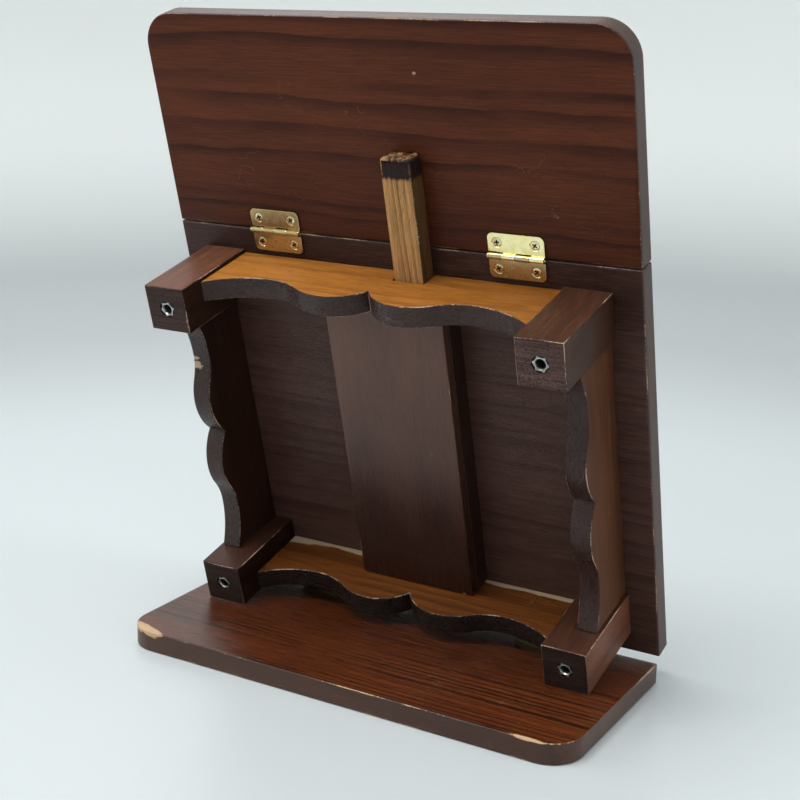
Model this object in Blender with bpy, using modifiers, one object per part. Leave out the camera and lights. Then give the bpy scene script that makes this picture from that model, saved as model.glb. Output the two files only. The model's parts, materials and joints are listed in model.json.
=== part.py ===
"""Small drop-leaf table top stood on one folded leaf, its wooden underside to the front.

Metres, +Z up, +X right, the underside facing -Y. The origin is the centre of the base
leaf's floor face. Each leaf and slide hangs from an empty that lies on its own joint.

Inside the frame a place is given as (across, up, out): across runs along +X, up runs along
the board from the lower hinge axis, and out is the height above the boards' underside.
"""

import math

import bmesh
import bpy
from mathutils import Vector

MM = 0.001

# Boards, all from one stock
WIDTH = 270 * MM
BOARD = 11.4 * MM
CENTRE_LENGTH = 223.6 * MM
LEAF_LENGTH = 114 * MM
JOINT_GAP = 0.8 * MM
CORNER_RADIUS = 18 * MM
ARRIS = 0.7 * MM
GLUE = 0.3 * MM

# Leg blocks and aprons
BLOCK = 25 * MM
BLOCK_TOP = 56.5 * MM
BLOCK_FROM_SIDE = 15.2 * MM
BLOCK_FROM_END = 12.5 * MM
APRON_INSET = 1.8 * MM
LONG_APRON = {"end": 41.5 * MM, "valley": 28.5 * MM, "lobe": 39.5 * MM, "cusp": 27 * MM,
              "valley_at": 59 * MM, "lobe_at": 22 * MM}
SIDE_APRON = {"end": 38.5 * MM, "valley": 31.8 * MM, "lobe": 38.5 * MM, "cusp": 30.5 * MM,
              "valley_at": 47 * MM, "lobe_at": 20.5 * MM}
ARC_STEPS = 6

# Slide housing and the two slides (lopers) that prop the leaves
HOUSING_WIDTH = 70 * MM
CHANNEL_WIDTH = 18 * MM
DIVIDER_WIDTH = 10.8 * MM
CHANNEL_HEIGHT = 12.2 * MM
COVER = 5.7 * MM
LOPER_WIDTH = 17 * MM
LOPER_HEIGHT = 11.1 * MM
LOPER_LENGTH = 140 * MM
LOPER_RISE = 0.4 * MM
LOPER_REACH = 50 * MM

# Butt hinges
HINGE_LENGTH = 30.5 * MM
HINGE_OPEN = 23.5 * MM
HINGE_ACROSS = 70.7 * MM
PLATE = 0.9 * MM
PLATE_CORNER = 3 * MM
KNUCKLES = 4
OWN_KNUCKLES = (1, 3)
KNUCKLE_RADIUS = 1.6 * MM
KNUCKLE_SLACK = 0.15 * MM
KNUCKLE_BORE = 0.95 * MM
PIN_RADIUS = 0.75 * MM
PIN_SHORT = 0.8 * MM
AXIS_RISE = 1.95 * MM
ROUND_STEPS = 12

# Countersunk wood screws, heights above the boards' underside
SCREW_ACROSS = 10.2 * MM
SCREW_UP = 6.9 * MM
SCREW_HEAD = 2.35 * MM
SCREW_SHANK = 1.2 * MM
SCREW_TOP = 1.05 * MM
SCREW_TIP = -7.9 * MM
SCREW_CLEARANCE = 0.25 * MM
CROSS_LENGTH = 2.9 * MM
CROSS_WIDTH = 0.55 * MM
CROSS_DEPTH = 0.8 * MM

# Threaded inserts for the legs
INSERT_LENGTH = 12.5 * MM
INSERT_BODY = 3.95 * MM
INSERT_BORE = 2.95 * MM
STAR_TIP = 4.3 * MM
STAR_VALLEY = 3.5 * MM
STAR_POINTS = 6
STAR_DEPTH = 2.2 * MM
INSERT_RECESS = 0.25 * MM
BLOCK_BORE = 4.75 * MM
BLOCK_BORE_DEPTH = 14 * MM

# Where the leg blocks meet the base leaf, they set how far the frame leans to the front.
STOP_OUT = BLOCK_TOP - AXIS_RISE
STOP_UP = BLOCK_FROM_END + JOINT_GAP / 2
STOP_GAP = 0.2 * MM
STOP_RADIUS = math.hypot(STOP_OUT, STOP_UP)
LEAN = math.atan2(STOP_UP, STOP_OUT) + math.asin((AXIS_RISE - STOP_GAP) / STOP_RADIUS)

AXIS_BACK = LEAF_LENGTH / 2 + JOINT_GAP / 2
AXIS_HEIGHT = BOARD + AXIS_RISE
CENTRE_LOW = JOINT_GAP / 2
CENTRE_HIGH = CENTRE_LOW + CENTRE_LENGTH
UPPER_AXIS = CENTRE_HIGH + JOINT_GAP / 2
BLOCK_ACROSS = WIDTH / 2 - BLOCK_FROM_SIDE - BLOCK / 2
BLOCK_LOW = CENTRE_LOW + BLOCK_FROM_END + BLOCK / 2
BLOCK_HIGH = CENTRE_HIGH - BLOCK_FROM_END - BLOCK / 2
LOWER_APRON_FACE = CENTRE_LOW + BLOCK_FROM_END + APRON_INSET
UPPER_APRON_FACE = CENTRE_HIGH - BLOCK_FROM_END - APRON_INSET
CHANNEL_NEAR = DIVIDER_WIDTH / 2
CHANNEL_FAR = CHANNEL_NEAR + CHANNEL_WIDTH


def clear_scene():
    for obj in list(bpy.data.objects):
        bpy.data.objects.remove(obj, do_unlink=True)


def new_collection(name, in_render=True):
    collection = bpy.data.collections.new(name)
    bpy.context.scene.collection.children.link(collection)
    collection.hide_render = not in_render
    return collection


def new_material(name, colour, roughness, metallic=0.0):
    material = bpy.data.materials.new(name)
    material.use_nodes = True
    shader = material.node_tree.nodes["Principled BSDF"]
    shader.inputs["Base Color"].default_value = (*colour, 1)
    shader.inputs["Roughness"].default_value = roughness
    shader.inputs["Metallic"].default_value = metallic
    return material


def place(across, up, out):
    """A place in the frame, as a location under an empty on a hinge axis."""
    return Vector((across, AXIS_RISE - out, up))


def empty_at(name, location, parent=None, turn=0.0):
    empty = bpy.data.objects.new(name, None)
    empty.location = location
    empty.rotation_euler.x = turn
    empty.parent = parent
    empty.empty_display_size = 0.02
    parts.objects.link(empty)
    return empty


def add_object(name, mesh, parent, location, turn=(0, 0, 0), material=None):
    obj = bpy.data.objects.new(name, mesh)
    obj.parent = parent
    obj.location = location
    obj.rotation_euler = turn
    if material and not mesh.materials:
        mesh.materials.append(material)
    parts.objects.link(obj)
    return obj


def add_cutter(name, mesh, parent, location, turn=(0, 0, 0)):
    obj = bpy.data.objects.new(name, mesh)
    obj.parent = parent
    obj.location = location
    obj.rotation_euler = turn
    obj.hide_render = True
    obj.display_type = "WIRE"
    cutters.objects.link(obj)
    return obj


def adopt_primitive():
    """The primitive just added, out of the scene's own collection, its scale in its mesh."""
    obj = bpy.context.active_object
    bpy.ops.object.transform_apply(location=False, rotation=True, scale=True)
    for collection in list(obj.users_collection):
        collection.objects.unlink(obj)
    return obj


def primitive_mesh(add, **settings):
    add(**settings)
    obj = adopt_primitive()
    mesh = obj.data
    bpy.data.objects.remove(obj)
    return mesh


def box_mesh(size):
    return primitive_mesh(bpy.ops.mesh.primitive_cube_add, size=1, scale=size)


def bar_mesh(radius, length):
    """A round bar along X."""
    return primitive_mesh(bpy.ops.mesh.primitive_cylinder_add, vertices=ROUND_STEPS,
                          radius=radius, depth=length, rotation=(0, math.pi / 2, 0))


def outline_mesh(name, loops, thickness):
    """A flat outline, with any holes as further loops, at half its thickness either side."""
    curve = bpy.data.curves.new(name, "CURVE")
    curve.dimensions = "2D"
    curve.fill_mode = "BOTH"
    curve.extrude = thickness / 2
    for loop in loops:
        spline = curve.splines.new("POLY")
        spline.points.add(len(loop) - 1)
        for point, (x, y) in zip(spline.points, loop):
            point.co = (x, y, 0, 1)
        spline.use_cyclic_u = True
    guide = bpy.data.objects.new(name, curve)
    cutters.objects.link(guide)
    graph = bpy.context.evaluated_depsgraph_get()
    mesh = bpy.data.meshes.new_from_object(guide.evaluated_get(graph))
    bpy.data.objects.remove(guide)
    work = bmesh.new()
    work.from_mesh(mesh)
    bmesh.ops.remove_doubles(work, verts=work.verts, dist=1e-6)
    bmesh.ops.dissolve_limit(work, angle_limit=math.radians(0.5), verts=work.verts,
                             edges=work.edges)
    bmesh.ops.recalc_face_normals(work, faces=work.faces)
    work.to_mesh(mesh)
    work.free()
    return mesh


def turned_object(name, profile, closed=False):
    """A cutter-collection object turned about its own Z from (radius, height) points."""
    mesh = bpy.data.meshes.new(name)
    edges = [(i, i + 1) for i in range(len(profile) - 1)]
    if closed:
        edges.append((len(profile) - 1, 0))
    mesh.from_pydata([(r, 0, z) for r, z in profile], edges, [])
    obj = add_cutter(name, mesh, None, (0, 0, 0))
    turn = obj.modifiers.new("turn", "SCREW")
    turn.steps = ROUND_STEPS
    turn.render_steps = ROUND_STEPS
    turn.use_merge_vertices = True
    turn.merge_threshold = 1e-6
    turn.use_smooth_shade = False
    return obj


def boolean(obj, other, operation="DIFFERENCE"):
    modifier = obj.modifiers.new(operation.lower(), "BOOLEAN")
    modifier.operation = operation
    modifier.object = other


def round_arrises(obj, width=ARRIS, segments=2):
    bevel = obj.modifiers.new("arris", "BEVEL")
    bevel.width = width
    bevel.segments = segments
    bevel.limit_method = "ANGLE"
    bevel.angle_limit = math.radians(40)


def finished_mesh(obj, helpers=()):
    """The object's evaluated mesh at its own place, smooth up to its sharp edges.

    The object and its helpers are removed.
    """
    bpy.context.view_layer.update()
    graph = bpy.context.evaluated_depsgraph_get()
    mesh = bpy.data.meshes.new_from_object(obj.evaluated_get(graph))
    mesh.transform(obj.matrix_world)
    mesh.name = obj.name
    for old in (obj, *helpers):
        bpy.data.objects.remove(old)
    mesh.shade_smooth()
    mesh.set_sharp_from_angle(angle=math.radians(40))
    return mesh


def arc(centre, radius, start, end, steps):
    """Points on an arc from start to end, in radians."""
    return [(centre[0] + radius * math.cos(start + (end - start) * i / steps),
             centre[1] + radius * math.sin(start + (end - start) * i / steps))
            for i in range(steps + 1)]


def leaf_outline():
    """A leaf from its square joint edge at y = 0 to its far edge with two round corners."""
    half = WIDTH / 2
    inner = half - CORNER_RADIUS
    reach = LEAF_LENGTH - CORNER_RADIUS
    right = arc((inner, reach), CORNER_RADIUS, 0, math.pi / 2, ARC_STEPS)
    left = arc((-inner, reach), CORNER_RADIUS, math.pi / 2, math.pi, ARC_STEPS)
    return [(-half, 0), (half, 0)] + right + left


def scallop(reach, shape):
    """Half of an apron's lower edge from its centre cusp to its end, as (along, depth).

    A lobe rises from the cusp in one arc, an ogee of two equal arcs leads down into the
    valley, and a last arc rises from the valley to the leg block.
    """
    lobe_at, valley_at = shape["lobe_at"], shape["valley_at"]
    lobe, valley = shape["lobe"], shape["valley"]
    points = []
    rise = lobe - shape["cusp"]
    radius = (lobe_at ** 2 + rise ** 2) / (2 * rise)
    for i in range(ARC_STEPS):
        along = lobe_at * i / ARC_STEPS
        drop = radius - math.sqrt(radius ** 2 - (lobe_at - along) ** 2)
        points.append((along, lobe - drop))
    run, fall = valley_at - lobe_at, lobe - valley
    radius = (run ** 2 + fall ** 2) / (4 * fall)
    for i in range(2 * ARC_STEPS):
        along = run * i / (2 * ARC_STEPS)
        near = min(along, run - along)
        sag = radius - math.sqrt(radius ** 2 - near ** 2)
        points.append((lobe_at + along, lobe - sag if along < run / 2 else valley + sag))
    run, rise = reach - valley_at, shape["end"] - valley
    radius = (run ** 2 + rise ** 2) / (2 * rise)
    for i in range(ARC_STEPS + 1):
        along = run * i / ARC_STEPS
        points.append((valley_at + along, valley + radius - math.sqrt(radius ** 2 - along ** 2)))
    return points


def apron_outline(reach, shape):
    """A whole apron: straight along the board, scalloped along its free edge."""
    right = scallop(reach, shape)
    left = [(-x, y) for x, y in right[1:]]
    return [(-reach, GLUE), (reach, GLUE)] + right[::-1] + left


def make_boards():
    """The two leaves and the centre board, with their joint edges square."""
    leaf = outline_mesh("leaf", [leaf_outline()], BOARD)
    middle = -BOARD / 2
    flat = (math.pi / 2, 0, 0)
    flipped = (math.pi / 2, math.pi, 0)
    base = add_object("base_leaf", leaf, base_hinge, place(0, -JOINT_GAP / 2, middle), flipped,
                      veneer)
    upper = add_object("upper_leaf", leaf.copy(), upper_hinge,
                       place(0, JOINT_GAP / 2, middle), flat, veneer)
    centre = add_object("centre_board", box_mesh((WIDTH, BOARD, CENTRE_LENGTH)), frame_hinge,
                        place(0, (CENTRE_LOW + CENTRE_HIGH) / 2, middle), material=veneer)
    for board in (base, upper, centre):
        round_arrises(board)
    return base, centre, upper


def make_blocks():
    """Four leg blocks, each bored in its end, with a threaded insert in the bore."""
    insert = insert_mesh()
    bore = primitive_mesh(bpy.ops.mesh.primitive_cylinder_add, vertices=24, radius=BLOCK_BORE,
                          depth=2 * BLOCK_BORE_DEPTH, rotation=(math.pi / 2, 0, 0))
    height = BLOCK_TOP - GLUE
    for level, up in (("upper", BLOCK_HIGH), ("lower", BLOCK_LOW)):
        for side, across in (("left", -BLOCK_ACROSS), ("right", BLOCK_ACROSS)):
            block = add_object(f"block_{level}_{side}", box_mesh((BLOCK, height, BLOCK)),
                               frame_hinge, place(across, up, GLUE + height / 2),
                               material=block_wood)
            round_arrises(block, 0.5 * MM)
            hole = add_cutter(f"bore_{level}_{side}", bore, frame_hinge,
                              place(across, up, BLOCK_TOP))
            boolean(block, hole)
            add_object(f"insert_{level}_{side}", insert, frame_hinge,
                       place(across, up, BLOCK_TOP - INSERT_RECESS), (math.pi / 2, 0, 0),
                       zinc)


def insert_mesh():
    """A threaded insert: a bored barrel under a six-pointed mouth, its mouth at z = 0."""
    overlap = 0.4 * MM
    top, foot = -STAR_DEPTH + overlap, -INSERT_LENGTH
    barrel = turned_object("barrel", [(INSERT_BORE, top), (INSERT_BODY, top),
                                      (INSERT_BODY, foot), (INSERT_BORE, foot)], closed=True)
    steps = STAR_POINTS * 6
    star = []
    for i in range(steps):
        angle = 2 * math.pi * i / steps
        swell = abs(math.cos(angle * STAR_POINTS / 2)) ** 2.4
        radius = STAR_VALLEY + (STAR_TIP - STAR_VALLEY) * swell
        star.append((radius * math.cos(angle), radius * math.sin(angle)))
    hole = arc((0, 0), INSERT_BORE + 0.1 * MM, 0, 2 * math.pi, 16)[:-1]
    collar = add_cutter("insert", outline_mesh("star", [star, hole], STAR_DEPTH), None,
                        (0, 0, -STAR_DEPTH / 2))
    boolean(collar, barrel, "UNION")
    return finished_mesh(collar, [barrel])


def make_aprons():
    """Four scalloped aprons between the leg blocks; the long ones are notched for a slide."""
    across_reach = BLOCK_ACROSS - BLOCK / 2 - GLUE
    up_reach = (BLOCK_HIGH - BLOCK_LOW) / 2 - BLOCK / 2 - GLUE
    long_mesh = outline_mesh("long_apron", [apron_outline(across_reach, LONG_APRON)], BOARD)
    side_mesh = outline_mesh("side_apron", [apron_outline(up_reach, SIDE_APRON)], BOARD)
    notch = box_mesh((CHANNEL_WIDTH, 2 * CHANNEL_HEIGHT, 2 * BOARD))
    notch_across = (CHANNEL_NEAR + CHANNEL_FAR) / 2
    along = (math.pi, 0, 0)
    upright = (math.pi, -math.pi / 2, 0)
    for name, up, sign in (("apron_upper", UPPER_APRON_FACE - BOARD / 2, 1),
                           ("apron_lower", LOWER_APRON_FACE + BOARD / 2, -1)):
        apron = add_object(name, long_mesh.copy(), frame_hinge, place(0, up, 0), along,
                           apron_wood)
        round_arrises(apron, segments=1)
        boolean(apron, add_cutter(f"{name}_notch", notch, frame_hinge,
                                  place(sign * notch_across, up, 0)))
    face = BLOCK_ACROSS + BLOCK / 2 - APRON_INSET
    middle = (BLOCK_LOW + BLOCK_HIGH) / 2
    for name, across in (("apron_left", -face + BOARD / 2), ("apron_right", face - BOARD / 2)):
        apron = add_object(name, side_mesh.copy(), frame_hinge, place(across, middle, 0),
                           upright, apron_wood)
        round_arrises(apron, segments=1)


def make_housing():
    """The slide housing: two rails and a divider under one wide cover."""
    low = LOWER_APRON_FACE + BOARD + GLUE
    high = UPPER_APRON_FACE - BOARD - GLUE
    length, middle = high - low, (low + high) / 2
    rail_height = CHANNEL_HEIGHT - GLUE
    rail_out = GLUE + rail_height / 2
    rail_width = HOUSING_WIDTH / 2 - CHANNEL_FAR
    rail_across = CHANNEL_FAR + rail_width / 2
    for name, width, across in (("housing_rail_left", rail_width, -rail_across),
                                ("housing_divider", DIVIDER_WIDTH, 0),
                                ("housing_rail_right", rail_width, rail_across)):
        rail = add_object(name, box_mesh((width, rail_height, length)), frame_hinge,
                          place(across, middle, rail_out), material=cover_wood)
        round_arrises(rail, 0.3 * MM, 1)
    cover = add_object("housing_cover", box_mesh((HOUSING_WIDTH, COVER, length)), frame_hinge,
                       place(0, middle, CHANNEL_HEIGHT + GLUE + COVER / 2),
                       material=cover_wood)
    round_arrises(cover)


def make_lopers():
    """Two flat slides: the upper one drawn out behind its leaf, the lower one pushed in."""
    across = (CHANNEL_NEAR + CHANNEL_FAR) / 2
    out = LOPER_RISE + LOPER_HEIGHT / 2
    upper_middle = CENTRE_HIGH + LOPER_REACH - LOPER_LENGTH / 2
    lower_middle = LOWER_APRON_FACE + LOPER_LENGTH / 2
    for name, slide, sign, middle in (("loper_upper", upper_slide, 1, upper_middle),
                                      ("loper_lower", lower_slide, -1, lower_middle)):
        loper = add_object(name, box_mesh((LOPER_WIDTH, LOPER_HEIGHT, LOPER_LENGTH)), slide,
                           place(sign * across, middle, out), material=bare_wood)
        round_arrises(loper)


def knuckle_span(index, slack):
    """Where one knuckle starts and ends along the hinge, short by slack at each neighbour."""
    pitch = HINGE_LENGTH / KNUCKLES
    start = index * pitch - HINGE_LENGTH / 2
    end = start + pitch
    return (start + (slack if index else 0), end - (slack if index < KNUCKLES - 1 else 0))


def plate_outline():
    """A plate from the axis at y = 0 up to its far edge, slotted for the other's knuckles."""
    far, half = HINGE_OPEN / 2, HINGE_LENGTH / 2
    slot = KNUCKLE_RADIUS + 0.35 * MM
    near = []
    for index in range(KNUCKLES):
        own = index in OWN_KNUCKLES
        start, end = knuckle_span(index, KNUCKLE_SLACK if own else -KNUCKLE_SLACK)
        height = 0 if own else slot
        near += [(start, height), (end, height)]
    bend = half - PLATE_CORNER
    right = arc((bend, far - PLATE_CORNER), PLATE_CORNER, 0, math.pi / 2, 4)
    left = arc((-bend, far - PLATE_CORNER), PLATE_CORNER, math.pi / 2, math.pi, 4)
    return near + right + left


def plate_mesh(screw_hole):
    """One hinge plate rising from the axis, with its two knuckles bored for the pin.

    Turned over about its middle, the same plate is the other half of the hinge.
    """
    back = AXIS_RISE - GLUE - PLATE / 2
    plate = add_cutter("plate", outline_mesh("plate", [plate_outline()], PLATE), None,
                       (0, back, 0), (math.pi / 2, 0, 0))
    helpers = []
    for index in OWN_KNUCKLES:
        start, end = knuckle_span(index, KNUCKLE_SLACK)
        knuckle = add_cutter("knuckle", bar_mesh(KNUCKLE_RADIUS, end - start), None,
                             ((start + end) / 2, 0, 0))
        boolean(plate, knuckle, "UNION")
        helpers.append(knuckle)
    bore = add_cutter("pin_bore", bar_mesh(KNUCKLE_BORE, 2 * HINGE_LENGTH), None, (0, 0, 0))
    boolean(plate, bore)
    helpers.append(bore)
    for across in (-SCREW_ACROSS, SCREW_ACROSS):
        hole = add_cutter("screw_hole", screw_hole, None, place(across, SCREW_UP, 0),
                          (math.pi / 2, 0, 0))
        boolean(plate, hole)
        helpers.append(hole)
    return finished_mesh(plate, helpers)


def screw_mesh():
    """A countersunk cross-head wood screw, z = 0 at the board's face and its tip down."""
    rim = SCREW_TOP - 0.15 * MM
    neck = rim - (SCREW_HEAD - SCREW_SHANK)
    point = SCREW_TIP + 1.5 * MM
    screw = turned_object("screw", [(0, SCREW_TOP), (SCREW_HEAD, SCREW_TOP), (SCREW_HEAD, rim),
                                    (SCREW_SHANK, neck), (SCREW_SHANK, point), (0, SCREW_TIP)])
    helpers = []
    for size in ((CROSS_LENGTH, CROSS_WIDTH), (CROSS_WIDTH, CROSS_LENGTH)):
        slot = add_cutter("cross", box_mesh((*size, 2 * CROSS_DEPTH)), None, (0, 0, SCREW_TOP))
        boolean(screw, slot)
        helpers.append(slot)
    return finished_mesh(screw, helpers)


def screw_hole_mesh():
    """The screw's own shape with clearance all round, as a cutter."""
    gap = SCREW_CLEARANCE
    head, shank = SCREW_HEAD + gap, SCREW_SHANK + gap
    rim = SCREW_TOP - 0.25 * MM
    neck = rim - (head - shank)
    point = SCREW_TIP + 1.4 * MM
    hole = turned_object("screw_hole", [(0, 2 * SCREW_TOP), (head, 2 * SCREW_TOP), (head, rim),
                                        (shank, neck), (shank, point), (0, SCREW_TIP - 2 * gap)])
    return finished_mesh(hole)


def make_hinges(base, centre, upper):
    """Four butt hinges, each two plates, a pin and four screws let into both boards."""
    hole = screw_hole_mesh()
    screw = screw_mesh()
    plate = plate_mesh(hole)
    pin = bar_mesh(PIN_RADIUS, HINGE_LENGTH - PIN_SHORT)
    into_board = (math.pi / 2, 0, 0)
    upright, over = (0, 0, 0), (0, math.pi, 0)
    for level, leaf_hinge, leaf, axis, sign in (("upper", upper_hinge, upper, UPPER_AXIS, 1),
                                                ("lower", base_hinge, base, 0, -1)):
        for side, across in (("left", -HINGE_ACROSS), ("right", HINGE_ACROSS)):
            name = f"hinge_{level}_{side}"
            leaf_turn, board_turn = (upright, over) if sign > 0 else (over, upright)
            add_object(f"{name}_leaf_plate", plate, leaf_hinge, (across, 0, 0), leaf_turn,
                       brass)
            add_object(f"{name}_board_plate", plate, frame_hinge, (across, 0, axis),
                       board_turn, brass)
            add_object(f"{name}_pin", pin, frame_hinge, (across, 0, axis), material=steel)
            spots = [(leaf, leaf_hinge, sign * SCREW_UP), (centre, frame_hinge,
                                                           axis - sign * SCREW_UP)]
            count = 0
            for board, parent, up in spots:
                for step in (-SCREW_ACROSS, SCREW_ACROSS):
                    count += 1
                    spot = place(across + step, up, 0)
                    add_object(f"{name}_screw_{count}", screw, parent, spot, into_board, brass)
                    boolean(board, add_cutter(f"{name}_pilot_{count}", hole, parent, spot,
                                              into_board))


clear_scene()
parts = new_collection("drop_leaf_stand")
cutters = new_collection("cutters", in_render=False)

veneer = new_material("veneer", (0.085, 0.032, 0.020), 0.38)
block_wood = new_material("block_wood", (0.120, 0.050, 0.026), 0.42)
apron_wood = new_material("apron_wood", (0.230, 0.095, 0.030), 0.45)
cover_wood = new_material("cover_wood", (0.060, 0.028, 0.024), 0.35)
bare_wood = new_material("bare_wood", (0.330, 0.200, 0.095), 0.65)
brass = new_material("brass", (0.780, 0.560, 0.230), 0.25, 1.0)
steel = new_material("steel", (0.560, 0.550, 0.530), 0.30, 1.0)
zinc = new_material("zinc", (0.480, 0.480, 0.470), 0.45, 1.0)

lower_axis = (0, AXIS_BACK, AXIS_HEIGHT)
base_hinge = empty_at("base_hinge", lower_axis, turn=-math.pi / 2)
frame_hinge = empty_at("frame_hinge", lower_axis, turn=LEAN)
upper_hinge = empty_at("upper_hinge", (0, 0, UPPER_AXIS), frame_hinge)
upper_slide = empty_at("upper_slide", (0, 0, 0), frame_hinge)
lower_slide = empty_at("lower_slide", (0, 0, 0), frame_hinge)

base_leaf, centre_board, upper_leaf = make_boards()
make_blocks()
make_aprons()
make_housing()
make_lopers()
make_hinges(base_leaf, centre_board, upper_leaf)
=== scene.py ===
# %% [markdown]
# # A small drop-leaf table top, stood on one folded leaf
# The real object is the top of a miniature table: a centre board with a leaf hinged to each
# end, four leg blocks, four scalloped aprons and two sliding props called lopers. Here it
# stands with its underside to the front. This lesson loads its measured model and gives each
# piece its true edges and finish.

# %% Load the measured model
import json
import math
from contextlib import contextmanager

import bmesh
import bpy
from mathutils import Matrix, Vector

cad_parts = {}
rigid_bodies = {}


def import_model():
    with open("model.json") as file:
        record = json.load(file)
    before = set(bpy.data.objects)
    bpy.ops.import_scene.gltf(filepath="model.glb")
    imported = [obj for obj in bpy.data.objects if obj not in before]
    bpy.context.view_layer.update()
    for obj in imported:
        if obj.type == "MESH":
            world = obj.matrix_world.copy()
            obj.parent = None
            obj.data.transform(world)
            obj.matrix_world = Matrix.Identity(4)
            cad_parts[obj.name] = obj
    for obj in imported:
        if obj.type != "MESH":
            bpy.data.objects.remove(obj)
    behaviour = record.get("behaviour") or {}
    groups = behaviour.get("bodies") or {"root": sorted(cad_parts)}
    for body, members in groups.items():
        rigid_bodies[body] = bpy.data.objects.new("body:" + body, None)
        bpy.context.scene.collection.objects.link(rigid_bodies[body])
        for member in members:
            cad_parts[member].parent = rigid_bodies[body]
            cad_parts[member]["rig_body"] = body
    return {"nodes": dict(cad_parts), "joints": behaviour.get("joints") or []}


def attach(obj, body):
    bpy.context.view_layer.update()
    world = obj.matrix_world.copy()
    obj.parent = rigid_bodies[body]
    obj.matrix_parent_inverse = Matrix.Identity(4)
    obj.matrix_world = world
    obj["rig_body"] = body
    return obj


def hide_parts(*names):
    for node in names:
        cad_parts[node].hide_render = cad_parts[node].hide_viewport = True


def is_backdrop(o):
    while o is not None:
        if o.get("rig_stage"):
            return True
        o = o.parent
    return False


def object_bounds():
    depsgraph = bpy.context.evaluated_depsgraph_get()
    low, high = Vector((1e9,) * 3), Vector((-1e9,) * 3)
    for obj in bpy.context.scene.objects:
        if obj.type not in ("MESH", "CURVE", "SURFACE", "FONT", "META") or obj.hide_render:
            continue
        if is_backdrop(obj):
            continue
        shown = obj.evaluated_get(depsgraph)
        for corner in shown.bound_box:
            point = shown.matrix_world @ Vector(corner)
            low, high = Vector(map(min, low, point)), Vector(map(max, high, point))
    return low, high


MM = 0.001
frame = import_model()
nodes = frame["nodes"]
joints = {joint["name"]: joint for joint in frame["joints"]}
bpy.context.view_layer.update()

# %% [markdown]
# The centre board and all that is fixed to it lean forward, so a piece is easier to build
# upright and then lean. The loper's slide gives the direction up the board, and the lower
# hinge gives the point it leans about. In the upright workshop, X runs across the board, Z
# up it, and -Y out of its underside towards the front.

# %% The leaning workshop
across = Vector((1, 0, 0))
up = Vector(joints["upper_loper_slide"]["axis"]).normalized()
out = across.cross(up)
lower_axis = Vector(joints["lower_leaf_fold"]["pos_m"])
upper_axis = Vector(joints["upper_leaf_fold"]["pos_m"])
leaning = Matrix.Translation(lower_axis) @ Matrix((across, -out, up)).transposed().to_4x4()
level = Matrix.Identity(4)


def span(node, place=leaning):
    """Lowest and highest corner of a CAD node, measured square to a workshop."""
    undo = place.inverted()
    corners = [undo @ corner.co for corner in nodes[node].data.vertices]
    return Vector(map(min, zip(*corners))), Vector(map(max, zip(*corners)))


print("the board leans", round(math.degrees(math.asin(out.z)), 2), "degrees")

# %% [markdown]
# Edit-mode operators act on whatever is selected, so these helpers select one object, open
# it in edit mode, and pick its points, edges or faces by a test on their place or normal.

# %% Helpers for modelling
KINDS = {"VERT": "verts", "EDGE": "edges", "FACE": "faces"}


def only(piece):
    bpy.ops.object.select_all(action="DESELECT")
    piece.select_set(True)
    bpy.context.view_layer.objects.active = piece


@contextmanager
def editing(piece):
    only(piece)
    bpy.ops.object.mode_set(mode="EDIT")
    yield
    bpy.ops.object.mode_set(mode="OBJECT")


def pick(kind, test):
    """Selects only what passes the test."""
    bpy.ops.mesh.select_mode(type=kind)
    bpy.ops.mesh.select_all(action="DESELECT")
    mesh = bmesh.from_edit_mesh(bpy.context.object.data)
    for item in getattr(mesh, KINDS[kind]):
        if test(item):
            item.select_set(True)
    mesh.select_flush_mode()
    bmesh.update_edit_mesh(bpy.context.object.data)


def pick_all():
    bpy.ops.mesh.select_all(action="SELECT")


def face_outwards():
    pick_all()
    bpy.ops.mesh.normals_make_consistent(inside=False)


def extrude(x, y, z):
    bpy.ops.mesh.extrude_region_move(TRANSFORM_OT_translate={"value": (x, y, z)})


def extrude_to(drop, scale):
    """Extrudes the selected ring down and sizes it."""
    extrude(0, 0, -drop)
    bpy.ops.transform.resize(value=(scale, scale, 1))


def middle(item):
    """The middle of an edge or a face."""
    return sum((point.co for point in item.verts), Vector()) / len(item.verts)


def direction(edge):
    return (edge.verts[1].co - edge.verts[0].co).normalized()


def modify(piece, kind, **settings):
    """Adds a modifier and applies it."""
    only(piece)
    modifier = piece.modifiers.new(kind.lower(), kind)
    for name, value in settings.items():
        setattr(modifier, name, value)
    bpy.ops.object.modifier_apply(modifier=modifier.name)


def primitive(add_one, name, **settings):
    """Adds a primitive on its own, with its place and size kept in its mesh."""
    bpy.ops.object.select_all(action="DESELECT")
    add_one(**settings)
    piece = bpy.context.object
    piece.name = name
    bpy.ops.object.transform_apply(location=True, rotation=True, scale=True)
    return piece


def stick(name, low, high):
    """A cube sized to two corners: the blank that a piece is cut from."""
    low, high = Vector(low), Vector(high)
    return primitive(bpy.ops.mesh.primitive_cube_add, name, size=1,
                     location=(low + high) / 2, scale=high - low)


def copy_of(piece, name):
    """A copy with its own mesh."""
    twin = piece.copy()
    twin.data = piece.data.copy()
    twin.name = name
    bpy.context.scene.collection.objects.link(twin)
    return twin


def cut(piece, *cutters):
    """Takes the cutters away from the piece, then throws them away."""
    for cutter in cutters:
        modify(piece, "BOOLEAN", operation="DIFFERENCE", object=cutter)
        bpy.data.objects.remove(cutter)


print("helpers ready")

# %% [markdown]
# Handled wood is never sharp. Every arris, the line where two faces meet, is rounded by a
# bevel, and the lacquer wears off it first. Each flat also gets a narrow border, and the
# points store how close to an arris they are in the attribute "arris": 1 on the rounding,
# 0.5 where it meets a flat, 0 inside. The materials read it to place the wear.

# %% Rounding and marking the arrises
ROUNDED = 1


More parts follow.
